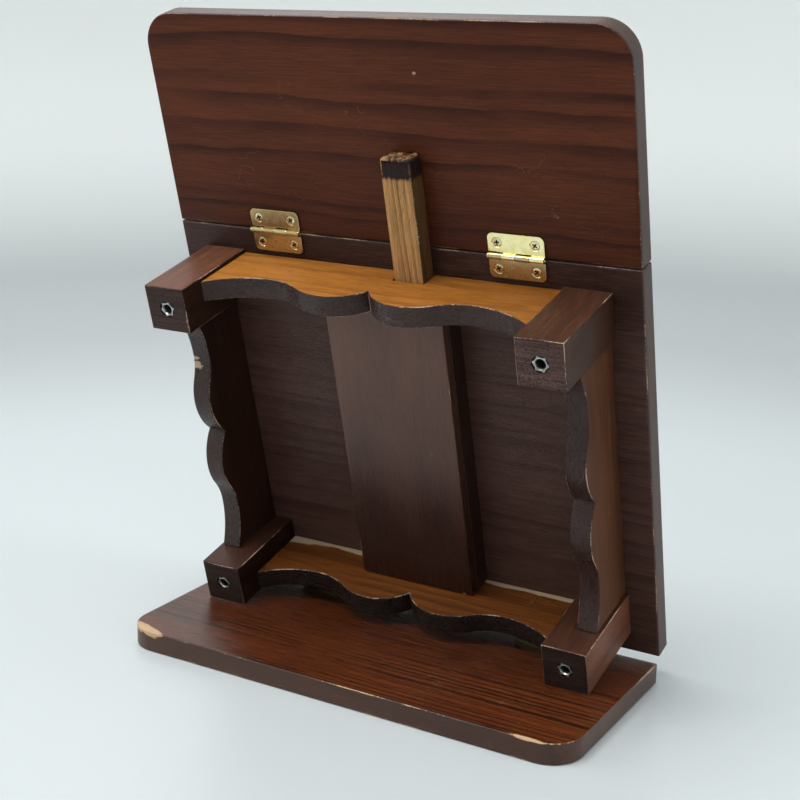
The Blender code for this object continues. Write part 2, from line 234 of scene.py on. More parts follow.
def soften(piece, width, segments=3, border=1.5 * MM, least=35):
    """Rounds the sharp edges and leaves the rounding's faces in a slot of their own."""
    while len(piece.data.materials) < 2:
        piece.data.materials.append(None)
    modify(piece, "BEVEL", width=width, segments=segments, limit_method="ANGLE",
           angle_limit=math.radians(least), material=ROUNDED, use_clamp_overlap=True)
    if border:
        with editing(piece):
            pick("FACE", lambda face: face.material_index != ROUNDED)
            bpy.ops.mesh.inset(thickness=border, use_even_offset=True)


def mark_arrises(piece):
    flat, rounded = set(), set()
    for face in piece.data.polygons:
        (rounded if face.material_index == ROUNDED else flat).update(face.vertices)
    marks = piece.data.attributes.new("arris", "FLOAT", "POINT")
    for index in rounded:
        marks.data[index].value = 0.5 if index in flat else 1.0


def set_down(piece, place):
    """Moves a piece out of its workshop, and leaves the place in its mesh."""
    only(piece)
    piece.matrix_world = place
    bpy.ops.object.transform_apply(location=True, rotation=True, scale=True)
    bpy.ops.object.shade_smooth_by_angle(angle=math.radians(38))


def stand_for(piece, node):
    """The finished piece rides where its CAD node rides, and is shown in its stead."""
    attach(piece, nodes[node]["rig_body"])
    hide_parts(node)


def paint(piece, *finishes):
    """Gives faces their materials: each finish is a material and a test on the face."""
    mesh = piece.data
    mesh.materials.clear()
    for material, _ in finishes:
        mesh.materials.append(material)
    for face in mesh.polygons:
        for index, (_, test) in enumerate(finishes):
            if test(face):
                face.material_index = index


def everywhere(face):
    return True


def facing(*directions, share=0.8):
    """A test that a face looks along one of the directions."""
    return lambda face: any(face.normal.dot(way) > share for way in directions)


print("edge helpers ready")

# %% [markdown]
# ## Finishes
# The boards, blocks and aprons are different woods under one dark lacquer, so they share
# their effects: grain, worn arrises and small blemishes. Each effect is a node group, built
# once, and every material gives it its own values. Inside, one unit is a millimetre.

# %% Helpers for node trees
SOCKETS = {"value": "NodeSocketFloat", "vector": "NodeSocketVector"}
BENCH = {}


def wire(tree):
    """Puts a node tree on the bench, where the other helpers add to it."""
    BENCH["tree"] = tree


def join(source, target):
    BENCH["tree"].links.new(source, target)


def add(kind, inputs=None, **settings):
    """Adds a shader node, then sets or links its inputs by name or number."""
    made = BENCH["tree"].nodes.new("ShaderNode" + kind)
    for name, value in settings.items():
        setattr(made, name, value)
    for name, value in (inputs or {}).items():
        if isinstance(value, bpy.types.NodeSocket):
            join(value, made.inputs[name])
        else:
            made.inputs[name].default_value = value
    return made


def maths(operation, *values, clamp=False):
    return add("Math", dict(enumerate(values)), operation=operation, use_clamp=clamp).outputs[0]


def times(first, second):
    return maths("MULTIPLY", first, second)


def swayed(value, pattern, amount, clamp=False):
    """The value pushed up and down by a pattern whose middle is 0.5."""
    return maths("MULTIPLY_ADD", maths("SUBTRACT", pattern, 0.5), amount, value, clamp=clamp)


def spread(value, low, high, to_low=0.0, to_high=1.0, kind="SMOOTHSTEP"):
    """Maps low..high to to_low..to_high, and holds what lies beyond."""
    return add("MapRange", {"Value": value, "From Min": low, "From Max": high,
                            "To Min": to_low, "To Max": to_high},
               interpolation_type=kind).outputs[0]


def noise(vector, scale, detail=2.0, rough=0.5):
    return add("TexNoise", {"Vector": vector, "Scale": scale, "Detail": detail,
                            "Roughness": rough}).outputs["Fac"]


def stretched(vector, scale):
    """The vector scaled along each axis: a small number draws a pattern out."""
    return add("Mapping", {"Vector": vector, "Scale": scale}).outputs[0]


def coordinates(vector):
    return add("SeparateXYZ", {0: vector}).outputs


def distance(vector):
    return add("VectorMath", {0: vector}, operation="LENGTH").outputs["Value"]


def mixed(share, first, second):
    """A colour between two: share 0 is the first and 1 is the second."""
    first, second = ((*colour, 1) if isinstance(colour, tuple) else colour
                     for colour in (first, second))
    return add("Mix", {0: share, 6: first, 7: second}, data_type="RGBA").outputs[2]


def shaded(colour, times):
    return tuple(part * times for part in colour)


def new_group(name, takes, gives):
    group = bpy.data.node_groups.new(name, "ShaderNodeTree")
    for label, (kind, start) in takes.items():
        socket = group.interface.new_socket(label, in_out="INPUT", socket_type=SOCKETS[kind])
        if start is not None:
            socket.default_value = start
    for label in gives:
        group.interface.new_socket(label, in_out="OUTPUT", socket_type=SOCKETS["value"])
    wire(group)
    return group, group.nodes.new("NodeGroupInput").outputs, group.nodes.new("NodeGroupOutput")


def give(node_out, **sockets):
    for label, socket in sockets.items():
        join(socket, node_out.inputs[label])


def new_finish(name, turn):
    """A material on the bench, its shader's inputs, the place, and the place in
    millimetres turned to the grain."""
    material = bpy.data.materials.new(name)
    material.use_nodes = True
    wire(material.node_tree)
    place = add("TexCoord").outputs["Object"]
    lined = add("Mapping", {"Vector": place, "Rotation": turn,
                            "Scale": (1 / MM,) * 3}).outputs[0]
    return material, material.node_tree.nodes["Principled BSDF"].inputs, place, lined


print("node helpers ready")

# %% [markdown]
# Grain runs along X inside the group. A slow noise bends the growth rings, a saw wave with a
# soft end draws each ring's dark late wood, long thin noise makes the fibres, and shorter
# dashes of it make the open pores. Round dots stand for pores that are cut across, as on
# end grain and sawn curves.

# %% The grain group
wood_grain, taken, given = new_group(
    "wood grain",
    {"Vector": ("vector", None), "Ring pitch": ("value", 14.0), "Waver": ("value", 10.0),
     "Fibre width": ("value", 0.6)},
    ["Rings", "Fibres", "Pores", "Mottle", "Dots"])
place, fine = taken["Vector"], maths("DIVIDE", 1.0, taken["Fibre width"])
split = coordinates(place)
bend = noise(stretched(place, (0.007, 0.02, 0.02)), 1.0, 3.0)
bent = maths("MULTIPLY_ADD", bend, taken["Waver"], split["Y"])
bent = maths("MULTIPLY_ADD", split["Z"], 0.35, bent)
turns = maths("DIVIDE", bent, taken["Ring pitch"])
uneven = add("TexNoise", {"W": turns, "Scale": 0.5, "Detail": 1.0},
             noise_dimensions="1D").outputs["Fac"]
turns = maths("FRACT", maths("MULTIPLY_ADD", uneven, 2.4, turns))
late = times(spread(turns, 0.35, 0.93), spread(turns, 0.93, 1.0, 1.0, 0.0))
faint = noise(stretched(place, (0.012, 0.05, 0.05)), 1.0, 2.0)
dashes = noise(stretched(place, (0.12, 1.0, 1.0)), times(fine, 1.7), 1.0)
give(given, Rings=times(late, spread(faint, 0.3, 0.65, 0.15, 1.0)),
     Fibres=noise(stretched(place, (0.035, 1.0, 1.0)), fine, 3.0, 0.6),
     Pores=spread(dashes, 0.62, 0.74), Dots=spread(noise(place, 1.5, 2.0, 0.7), 0.54, 0.66),
     Mottle=noise(stretched(place, (0.01, 0.03, 0.03)), 1.0, 3.0))
print("wood grain:", len(wood_grain.nodes), "nodes")

# %% [markdown]
# Wear follows the stored arris mark, broken up by two noises: a fine one frays its border
# and a slow one leaves some stretches whole and others bare.

# %% The worn arris group
edge_wear, taken, given = new_group(
    "edge wear", {"Vector": ("vector", None), "Arris": ("value", 0.0),
                  "Bareness": ("value", 0.0)}, ["Wear"])
near_arris = swayed(taken["Arris"], noise(taken["Vector"], 0.9, 4.0, 0.65), 1.5)
near_arris = swayed(near_arris, noise(taken["Vector"], 0.045, 2.0), 2.2)
near_arris = maths("ADD", near_arris, taken["Bareness"])
give(given, Wear=times(spread(near_arris, 1.05, 1.3), spread(taken["Arris"], 0.02, 0.3)))
print("edge wear:", len(edge_wear.nodes), "nodes")

# %% [markdown]
# Small blemishes tell the eye how big the thing is: pale dust specks, dark pinholes, and
# hairline scratches, drawn as the thin line where a noise crosses its middle value.

# %% The blemish group
blemishes, taken, given = new_group(
    "blemishes", {"Vector": ("vector", None), "Amount": ("value", 1.0)},
    ["Pale", "Dark", "Scratches"])


def specks(scale, size, offset):
    """Round dots, one in some of the cells of a Voronoi pattern."""
    moved = add("Mapping", {"Vector": taken["Vector"], "Location": (offset, 0, 0)}).outputs[0]
    cell = add("TexVoronoi", {"Vector": moved, "Scale": scale}).outputs
    chance = coordinates(cell["Color"])["X"]
    radius = spread(chance, 0.55, 1.0, 0.0, size * scale, "LINEAR")
    return spread(maths("SUBTRACT", radius, cell["Distance"]), 0.0, 0.2 * size * scale)


line = noise(stretched(taken["Vector"], (0.05, 0.09, 0.09)), 1.0, 2.0)
gap = maths("ABSOLUTE", maths("SUBTRACT", line, 0.5))
where = spread(noise(taken["Vector"], 0.03, 3.0), 0.6, 0.68)
hair = times(spread(gap, 0.0, 0.004, 1.0, 0.0), where)
give(given, Pale=times(specks(0.045, 0.55, 3.0), taken["Amount"]),
     Dark=times(specks(0.06, 0.5, 31.0), taken["Amount"]),
     Scratches=times(hair, taken["Amount"]))
print("blemishes:", len(blemishes.nodes), "nodes")

# %% [markdown]
# One function mixes a wood under lacquer. Its grain is turned to lie along the piece, its
# colour runs from a dark to a light shade with the fibres, and the rings, the pores and the
# wear are laid over that. Bare wood under the lacquer is pale and rough.


# %% Wood under lacquer
def grain_turn(along, over):
    """The turn that lays a piece's grain along X and its face along Y."""
    return Matrix((along, over, along.cross(over))).to_euler()


def patch(place, centre, size, turn=0.0, ragged=0.9):
    """A ragged spot of bare wood round a point, as a mask."""
    local = add("Mapping", {"Vector": place, "Location": centre, "Scale": size,
                            "Rotation": (0, 0, turn)}, vector_type="TEXTURE").outputs[0]
    torn = noise(stretched(place, (260, 900, 900)), 1.0, 4.0, 0.6)
    return spread(swayed(distance(local), torn, ragged), 0.92, 1.0, 1.0, 0.0)


def ramp_along(place, axis, start, end, first, last):
    """A shift that runs from first to last as a coordinate goes from start to end."""
    return spread(coordinates(place)[axis], start, end, first, last)


def worn_arrises(lined, bareness):
    mark = add("Attribute", attribute_name="arris").outputs["Fac"]
    return add("Group", {"Vector": lined, "Arris": mark, "Bareness": bareness},
               node_tree=edge_wear).outputs["Wear"]


def roughened(shader, height, relief):
    bump = add("Bump", {"Height": height, "Distance": relief * MM, "Strength": 1.0})
    join(bump.outputs[0], shader["Normal"])


def wood(name, turn, dark, light, ring, pitch=14.0, waver=10.0, fibre=0.6, streak=0.8,
         rings=0.7, pores=0.5, dots=0.0, mottle=0.5, raw=(0.50, 0.33, 0.19), bareness=0.0,
         blemish=1.0, rough=(0.34, 0.46), gloss=0.12, coat=0.02, relief=0.12, bare=None,
         fade=None, dip=None):
    """bare and dip are masks of worn and of stained wood, and fade shifts the shade lighter or
    darker along the piece, as painted light and shade.
    """
    material, shader, place, lined = new_finish(name, turn)
    grain = add("Group", {"Vector": lined, "Ring pitch": pitch, "Waver": waver,
                          "Fibre width": fibre}, node_tree=wood_grain).outputs
    marks = add("Group", {"Vector": lined, "Amount": blemish}, node_tree=blemishes).outputs
    worn = worn_arrises(lined, bareness)
    if bare:
        worn = maths("MAXIMUM", worn, bare(place))
    shade = spread(grain["Fibres"], 0.25, 0.75, 0.5 - streak / 2, 0.5 + streak / 2)
    shade = swayed(shade, grain["Mottle"], 2.2 * mottle, clamp=not fade)
    # Painted light and shade: a shift that makes parts of a piece lighter or darker.
    if fade:
        shade = maths("ADD", shade, fade(place), clamp=True)
    colour = mixed(shade, dark, light)
    hollow = shaded(ring, 0.45)
    for mask, share, over in ((grain["Rings"], rings, ring), (grain["Pores"], pores, hollow),
                              (marks["Dark"], 0.8, hollow), (grain["Dots"], dots, hollow)):
        if share:
            colour = mixed(times(mask, share), colour, over)
    pale = maths("MAXIMUM", marks["Pale"], times(marks["Scratches"], 0.45))
    pale = maths("MAXIMUM", worn, times(pale, 0.7))
    colour = mixed(pale, colour, mixed(grain["Fibres"], shaded(raw, 0.62), raw))
    if dip:
        colour = mixed(dip(lined), colour, DARK_STAIN)
    join(colour, shader["Base Color"])
    sheen = spread(grain["Fibres"], 0.3, 0.7, *rough)
    sheen = maths("MULTIPLY_ADD", grain["Pores"], 0.08, sheen)
    join(maths("MAXIMUM", sheen, times(worn, 0.75)), shader["Roughness"])
    height = grain["Fibres"]
    for mask, depth in ((grain["Pores"], 0.6), (worn, 1.2), (marks["Dark"], 1.0),
                        (grain["Dots"], dots)):
        height = maths("MULTIPLY_ADD", mask, -depth, height)
    roughened(shader, height, relief)
    shader["Specular IOR Level"].default_value = gloss
    shader["Coat Weight"].default_value = coat
    shader["Coat Roughness"].default_value = 0.22
    return material


DARK_STAIN = (0.022, 0.011, 0.010)
print("wood recipe ready")

# %% [markdown]
# The undersides of the leaves and the centre board are a red-brown veneer whose rings run
# across the width. The folded leaf is richer and glossier, with close ribbon stripes, and
# its veneer has broken off at two places along the front. Board edges are painted greyer
# and lighter than the faces, as a painted sheen, and the show faces at the back share one
# polished finish.

# %% Board finishes
base_low, base_high = span("base_leaf", level)
front, top = base_low.y, base_high.z


def broken_veneer(place):
    corner = patch(place, (base_low.x + 14 * MM, front + 3.2 * MM, top),
                   (15 * MM, 3.2 * MM, 3.5 * MM), -0.3)
    short = patch(place, (base_high.x - 22 * MM, front + 0.8 * MM, top),
                  (10 * MM, 1.2 * MM, 1.4 * MM))
    return maths("MAXIMUM", corner, short)


back = Vector((0, 1, 0))
board_turn = grain_turn(across, up)
floor_turn = grain_turn(across, back)


def pale_nick(place):
    """A pin-head nick in the raised leaf."""
    spot = leaning @ Vector((24 * MM, span("upper_leaf")[0].y, 313 * MM))
    return patch(place, spot, (1.0 * MM, 2 * MM, 0.8 * MM), 0.0, 0.3)


# Painted shade: the raised leaf is painted darker towards its hinges, where less light reaches
# it.
def painted_shade_by_hinges(place):
    return ramp_along(place, "Z", 225 * MM, 300 * MM, -0.35, 0.1)


leaf_veneer = wood("leaf veneer", board_turn, (0.061, 0.0163, 0.0071),
                   (0.117, 0.0312, 0.0124), (0.021, 0.0072, 0.0048), pitch=15, waver=16,
                   streak=0.75, rings=0.75, pores=0.45, dots=0.12, gloss=0.1, coat=0.01,
                   bare=pale_nick, fade=painted_shade_by_hinges)
show_veneer = wood("show face veneer", board_turn, (0.050, 0.013, 0.006),
                   (0.125, 0.036, 0.0125), (0.028, 0.009, 0.006), pitch=13, waver=14,
                   streak=0.8, rings=0.6, pores=0.3, rough=(0.2, 0.28), gloss=0.5, coat=0.3)


# Painted sheen and shade: the centre board is painted paler and greyer in the bays, as a painted
# sheen, and darker above them behind the top apron, as painted shade.
def painted_bay_sheen_and_shade(place):
    return ramp_along(place, "Z", 185 * MM, 215 * MM, 0.25, -0.35)


centre_veneer = wood("centre veneer", board_turn, (0.029, 0.0085, 0.005),
                     (0.098, 0.047, 0.036), (0.017, 0.007, 0.005), pitch=9, waver=8,
                     fibre=0.45, rings=0.5, pores=0.8, rough=(0.34, 0.44), gloss=0.22,
                     coat=0.03, relief=0.16, fade=painted_bay_sheen_and_shade)
base_veneer = wood("folded leaf veneer", floor_turn, (0.040, 0.0078, 0.0022),
                   (0.142, 0.031, 0.0048), (0.009, 0.003, 0.0015), pitch=3.8, waver=4,
                   fibre=0.6, streak=1.0, rings=1.0, pores=0.7, rough=(0.25, 0.36),
                   gloss=0.38, coat=0.16, raw=(0.62, 0.42, 0.24), bare=broken_veneer)
# Painted sheen: the board edges are painted greyer and lighter than the faces.
board_edge = wood("board edge", grain_turn(across, out), (0.045, 0.023, 0.018),
                  (0.075, 0.040, 0.030), (0.03, 0.016, 0.013), rings=0.3, pores=0.3,
                  rough=(0.4, 0.5), gloss=0.3, coat=0.07)
base_edge = wood("folded leaf edge", floor_turn, (0.048, 0.019, 0.011),
                 (0.088, 0.037, 0.021), (0.03, 0.012, 0.008), rings=0.4, pores=0.4,
                 rough=(0.3, 0.4), gloss=0.3, coat=0.1, raw=(0.62, 0.42, 0.24),
                 bare=broken_veneer)
print("board finishes:", [m.name for m in bpy.data.materials if "board" in m.name
                          or "leaf" in m.name])

# %% [markdown]
# ## The boards
# A leaf is a flat board with two round corners at its far edge and a square joint edge. It
# is cut from a stick: the two corner edges are bevelled round, then all arrises softened.

# %% The two leaves and the centre board
CORNER = 18 * MM


def board(name, node, place, finish, edge, seen, rounded_end=0):
    """A board as big as its CAD node. seen is the way its underside faces, and rounded_end
    the side of its far end, or 0."""
    low, high = span(node, place)
    piece = stick(name, low, high)
    thin = min(range(3), key=lambda axis: (high - low)[axis])
    long_way = 3 - thin
    if rounded_end:
        end = (high if rounded_end > 0 else low)[long_way]
        with editing(piece):
            pick("EDGE", lambda edge: abs(direction(edge)[thin]) > 0.9
                 and abs(middle(edge)[long_way] - end) < 0.1 * MM)
            bpy.ops.mesh.bevel(offset=CORNER, segments=14, affect="EDGES")
    soften(piece, 0.7 * MM)
    mark_arrises(piece)
    set_down(piece, place)
    paint(piece, (edge, everywhere), (finish, facing(seen)), (show_veneer, facing(-seen)))
    return piece


raised = board("raised_leaf_board", "upper_leaf", leaning, leaf_veneer, board_edge, out, 1)
centre = board("centre_board_veneered", "centre_board", leaning, centre_veneer, board_edge,
               out)
folded = board("folded_leaf_board", "base_leaf", level, base_veneer, base_edge,
               Vector((0, 0, 1)), -1)
for piece, node in ((raised, "upper_leaf"), (centre, "centre_board"), (folded, "base_leaf")):
    stand_for(piece, node)
    print(piece.name, len(piece.data.polygons), "faces")

# %% [markdown]
# ## Leg blocks
# Each block is a square stick glued on end, so its grain runs out of the board and its face
# to the front is dark, rough end grain. Each block's top, sides and front end are painted
# lighter or darker by a factor of their own, as painted light and shade. A stepped hole in
# the front face takes the threaded insert.

# %% Block finishes
block_turn = grain_turn(out, across)
end_turn = grain_turn(across, up)
# Painted light and shade: factors for each block's top, sides and front end, lighter where it is
# lit and darker where it is shaded.
LIT_AND_SHADED = {("upper", "left"): (1.5, 0.3, 0.85), ("upper", "right"): (0.63, 0.46, 1.7),
          ("lower", "left"): (0.62, 0.16, 0.68), ("lower", "right"): (0.7, 1.8, 0.55)}


def block_stick(label, times):
    return wood(label, block_turn, shaded((0.055, 0.019, 0.0105), times),
                shaded((0.122, 0.045, 0.022), times), (0.038, 0.014, 0.009), pitch=6,
                waver=5, streak=1.0, rings=0.6, pores=0.6, dots=0.15,
                raw=(0.62, 0.42, 0.30), bareness=0.12, rough=(0.38, 0.48), gloss=0.22)


def block_finishes(level_name, side):
    """The finishes of a block's upper face, its other long sides and its front end, each painted
    lighter or darker as it is lit or shaded.
    """
    upper_face, sides, end = LIT_AND_SHADED[level_name, side]
    label = f"{level_name} {side} block"
    front_end = wood(f"{label} end", end_turn, shaded((0.026, 0.0145, 0.013), end),
                     shaded((0.090, 0.050, 0.043), end), (0.014, 0.008, 0.007), pitch=7,
                     waver=9, fibre=1.4, rings=0.3, pores=0.3, dots=0.75,
                     raw=(0.62, 0.42, 0.30), bareness=0.12, rough=(0.42, 0.55), relief=0.3)
    return block_stick(f"{label} top", upper_face), block_stick(f"{label} side", sides), \
        front_end


print("block finishes ready")

# %% The four blocks
SEATS = ((4.5 * MM, 1.15 * MM), (3.6 * MM, 14 * MM))
LEVELS, SIDES = ("upper", "lower"), ("left", "right")


def block(level_name, side):
    node = f"block_{level_name}_{side}"
    low, high = span(node)
    piece = stick(f"leg_block_{level_name}_{side}", low, high)
    soften(piece, 0.55 * MM)
    face = Vector(((low.x + high.x) / 2, low.y, (low.z + high.z) / 2))
    for radius, deep in SEATS:
        cut(piece, primitive(bpy.ops.mesh.primitive_cylinder_add, "seat", vertices=40,
                             radius=radius, depth=2 * deep, location=face,
                             rotation=(math.pi / 2, 0, 0)))
    mark_arrises(piece)
    set_down(piece, leaning)
    upper_face, long_side, front_end = block_finishes(level_name, side)
    paint(piece, (long_side, everywhere), (upper_face, facing(up)),
          (front_end, facing(out, share=0.9)))
    stand_for(piece, node)
    return piece


blocks = [block(level_name, side) for level_name in LEVELS for side in SIDES]
print([piece.name for piece in blocks])

# %% [markdown]
# ## Aprons
# The scalloped edge is two lobes that meet in a cusp, then a valley on each side and a rise
# to the block. A maker draws it with compasses, and so does this: a point is extruded along
# the straight parts and spun about a centre for each arc, the outline is filled and
# extruded to the board's thickness, and all its arrises are rounded.

# %% Drawing an outline with lines and arcs
ARC_STEPS = 12


def start_outline(name, x, y):
    piece = primitive(bpy.ops.mesh.primitive_plane_add, name, size=1 * MM, location=(x, y, 0))
    bpy.ops.object.mode_set(mode="EDIT")
    bpy.ops.mesh.select_mode(type="VERT")
    pick_all()
    bpy.ops.mesh.merge(type="CENTER")
    return piece, Vector((x, y, 0))


def line_to(pen, x, y):
    end = Vector((x, y, 0))
    extrude(*(end - pen))
    return end


def arc_to(pen, x, y, sweep):
    """Spins the last point to the next place; a positive sweep turns left."""
    end = Vector((x, y, 0))
    chord = end - pen
    centre = (pen + end) / 2 + Vector((-chord.y, chord.x, 0)) / (2 * math.tan(sweep / 2))
    bpy.ops.mesh.spin(steps=ARC_STEPS, angle=-sweep, center=centre, axis=(0, 0, 1))
    return end


def close_outline(thickness):
    pick_all()
    bpy.ops.mesh.remove_doubles(threshold=0.02 * MM)
    bpy.ops.mesh.edge_face_add()
    bpy.ops.transform.translate(value=(0, 0, -thickness / 2))
    extrude(0, 0, thickness)
    face_outwards()
    bpy.ops.object.mode_set(mode="OBJECT")


print("drawing helpers ready")

# %% Apron templates
LONG = {"end": 41.5 * MM, "valley": 28.5 * MM, "lobe": 39.5 * MM, "cusp": 27 * MM,
        "valley_at": 59 * MM, "lobe_at": 22 * MM}
SIDE = {"end": 38.5 * MM, "valley": 31.8 * MM, "lobe": 38.5 * MM, "cusp": 30.5 * MM,
        "valley_at": 47 * MM, "lobe_at": 20.5 * MM}


def scallop_arcs(reach, shape):
    """(along, depth, sweep) of each arc from the cusp out to the block, to the right."""
    lobe_at, valley_at, lobe, valley = (shape[key] for key in
                                        ("lobe_at", "valley_at", "lobe", "valley"))
    swell = 2 * math.atan2(lobe - shape["cusp"], lobe_at)
    ogee = 2 * math.atan2(lobe - valley, valley_at - lobe_at)
    flare = 2 * math.atan2(shape["end"] - valley, reach - valley_at)
    halfway = (lobe_at + valley_at) / 2, (lobe + valley) / 2
    return [(lobe_at, lobe, -swell), (*halfway, -ogee), (valley_at, valley, ogee),
            (reach, shape["end"], flare)]


def apron_outline(name, reach, shape, near, notch=None):
    """An outline with depth along +Y; the notch is (from, to, depth) along the board."""
    piece, pen = start_outline(name, -reach, near)
    if notch:
        for spot in ((notch[0], near), (notch[0], notch[2]), (notch[1], notch[2]),
                     (notch[1], near)):
            pen = line_to(pen, *spot)
    pen = line_to(pen, reach, near)
    arcs = scallop_arcs(reach, shape)
    pen = line_to(pen, reach, shape["end"])
    starts = [(0, shape["cusp"])] + [arc[:2] for arc in arcs[:-1]]
    for (x, y), (_, _, sweep) in zip(starts[::-1], arcs[::-1]):
        pen = arc_to(pen, x, y, -sweep)
    for x, y, sweep in arcs:
        pen = arc_to(pen, -x, y, -sweep)
    return piece


print("scallop arcs:", len(scallop_arcs(90 * MM, LONG)), "each side")

# %% [markdown]
# The upper apron's top is orange, painted lighter towards its left end as a painted highlight.
# The lower one was left unstained in a ragged strip along its joint with the board. The sawn
# scallops are darker and greyer than either, and the lower apron's scallop is painted darker
# still, as painted shade.


# %% Apron finishes
def unstained_strip(place):
    """Bare wood near the board on the lower apron's inner face, widest at the left."""
    square = add("Mapping", {"Vector": place, "Rotation": board_turn,
                             "Scale": (1 / MM,) * 3}).outputs[0]
    split = coordinates(square)
    joint = board_turn.to_matrix() @ (leaning @ Vector((0, board_face, 0)))
    off = maths("SUBTRACT", split["Z"], joint.z / MM)
    off = swayed(off, noise(stretched(square, (0.25, 1, 1)), 0.45, 3.0), 2.6)
    off = swayed(off, noise(stretched(square, (0.04, 0.2, 0.2)), 1.0, 1.0), 4.5)
    off = maths("SUBTRACT", off, spread(split["X"], -96.0, -62.0, 3.0, 0.0))
    return spread(off, 3.6, 4.8, 0.95, 0.0)


# Painted highlight: the apron's top is painted lighter towards its left end and darker to the
# right.
def painted_highlight_left(place):
    return ramp_along(place, "X", -75 * MM, 75 * MM, 0.42, -0.12)


def chipped(place):
    """Two splinters lost from the left side apron's edge."""
    edge = leaning @ Vector((span("apron_left")[0].x + 2 * MM, board_face - 34 * MM, 154 * MM))
    big = patch(place, edge, (4.2 * MM, 7 * MM, 2.4 * MM), 0.2, 1.7)
    small = patch(place, edge + Vector((-1, 0, 4)) * MM,
                  (3.5 * MM, 6 * MM, 1.1 * MM), -0.2, 1.7)
    return maths("MAXIMUM", big, small)


def splintered(place):
    """A splinter lost from the top apron's front edge."""
    edge = leaning @ Vector((53 * MM, board_face - 33 * MM, span("apron_upper")[1].z))
    return patch(place, edge, (4 * MM, 2.2 * MM, 2 * MM), 0.3, 1.2)


board_face = span("centre_board")[0].y
PALE_WOOD = (0.66, 0.50, 0.32)
along_turn, upright_turn = grain_turn(across, out), grain_turn(up, out)
top_wood = wood("faded apron top", along_turn, (0.165, 0.051, 0.007), (0.41, 0.157, 0.028),
                (0.13, 0.042, 0.008), pitch=12, waver=14, rings=0.45, pores=0.4,
                rough=(0.36, 0.48), bareness=0.1, fade=painted_highlight_left,
                bare=splintered)
low_wood = wood("lower apron inside", along_turn, (0.092, 0.026, 0.0058),
                (0.23, 0.074, 0.015), (0.04, 0.014, 0.006), pitch=8, waver=9, rings=0.6,
                pores=0.6, rough=(0.38, 0.5), raw=PALE_WOOD, bare=unstained_strip)
side_wood = wood("side apron face", upright_turn, (0.062, 0.021, 0.009),
                 (0.138, 0.053, 0.024), (0.05, 0.02, 0.012), pitch=10, waver=8, rings=0.4,
                 pores=0.6, rough=(0.4, 0.52))
# Painted shade: the side aprons' inner faces take a darker copy of their outer finish.
shaded_inner_wood = wood("side apron inside", upright_turn, (0.022, 0.009, 0.006),
                  (0.050, 0.019, 0.011), (0.016, 0.007, 0.005), pitch=10, waver=8,
                  rings=0.4, pores=0.6, rough=(0.4, 0.52))


# tone scales the colours; below 1 it makes a darker copy, as painted shade.
def sawn(name, turn, bare=None, tone=1.0):
    return wood(name, turn, shaded((0.020, 0.008, 0.006), tone),
                shaded((0.055, 0.026, 0.020), tone),
                (0.016, 0.008, 0.007), pitch=5, waver=4, rings=0.35, pores=0.3, dots=0.55,
                raw=(0.60, 0.42, 0.29), bareness=0.06, rough=(0.22, 0.4), gloss=0.3,
                coat=0.03, relief=0.2, bare=bare)


sawn_long = sawn("sawn scallop", along_turn)
# Painted shade: the lower apron's scallop is a copy of the sawn finish at about a third of its
# brightness.
shaded_sawn_low = sawn("dark sawn scallop", along_turn, tone=0.35)
sawn_side = {"left": sawn("chipped side scallop", upright_turn, chipped),
             "right": sawn("sawn side scallop", upright_turn)}
print("apron finishes ready")

# %% The four aprons
LOPER_NOTCH = (5.4 * MM, 23.4 * MM, 12.2 * MM)
lying_down = Matrix.Translation((0, board_face, 0)) @ Matrix.Rotation(math.pi, 4, "X")
stood_up = Matrix(((0, 0, 1, 0), (0, -1, 0, board_face), (1, 0, 0, 0), (0, 0, 0, 1)))


def apron(name, node, shape, workshop, notch, *finishes):
    low, high = span(node)
    middle_of = (low + high) / 2
    size = high - low
    reach, thickness = (size.z / 2, size.x) if size.z > size.x else (size.x / 2, size.z)
    piece = apron_outline(name, reach, shape, board_face - high.y, notch)
    close_outline(thickness)
    soften(piece, 0.6 * MM, border=1.3 * MM)
    mark_arrises(piece)
    middle_of.y = 0
    set_down(piece, leaning @ Matrix.Translation(middle_of) @ workshop)
    paint(piece, *finishes)
    stand_for(piece, node)
    print(name, len(piece.data.polygons), "faces")


left_notch = (-LOPER_NOTCH[1], -LOPER_NOTCH[0], LOPER_NOTCH[2])
apron("top_apron", "apron_upper", LONG, lying_down, LOPER_NOTCH, (sawn_long, everywhere),
      (top_wood, facing(up)), (low_wood, facing(-up)))
apron("bottom_apron", "apron_lower", LONG, lying_down, left_notch, (shaded_sawn_low, everywhere),
      (low_wood, facing(up)), (low_wood, facing(-up)))
for side, outward in (("left", -across), ("right", across)):
    apron(f"side_apron_{side}", f"apron_{side}", SIDE, stood_up, None,
          (sawn_side[side], everywhere), (side_wood, facing(outward)),
          (shaded_inner_wood, facing(-outward)))

# %% [markdown]
# ## The loper housing
# Two rails and a divider make two channels, and one wide board covers them. The rails keep
# their measured shape and only need a finish; the cover gets true arrises, and a drop of
# glue has hardened by its lower right corner.

# %% Housing
# Painted shade: the cover is painted darker towards its bottom and lighter higher up.
def painted_shade_low(place):
    return ramp_along(place, "Z", 30 * MM, 170 * MM, -0.75, 0.35)


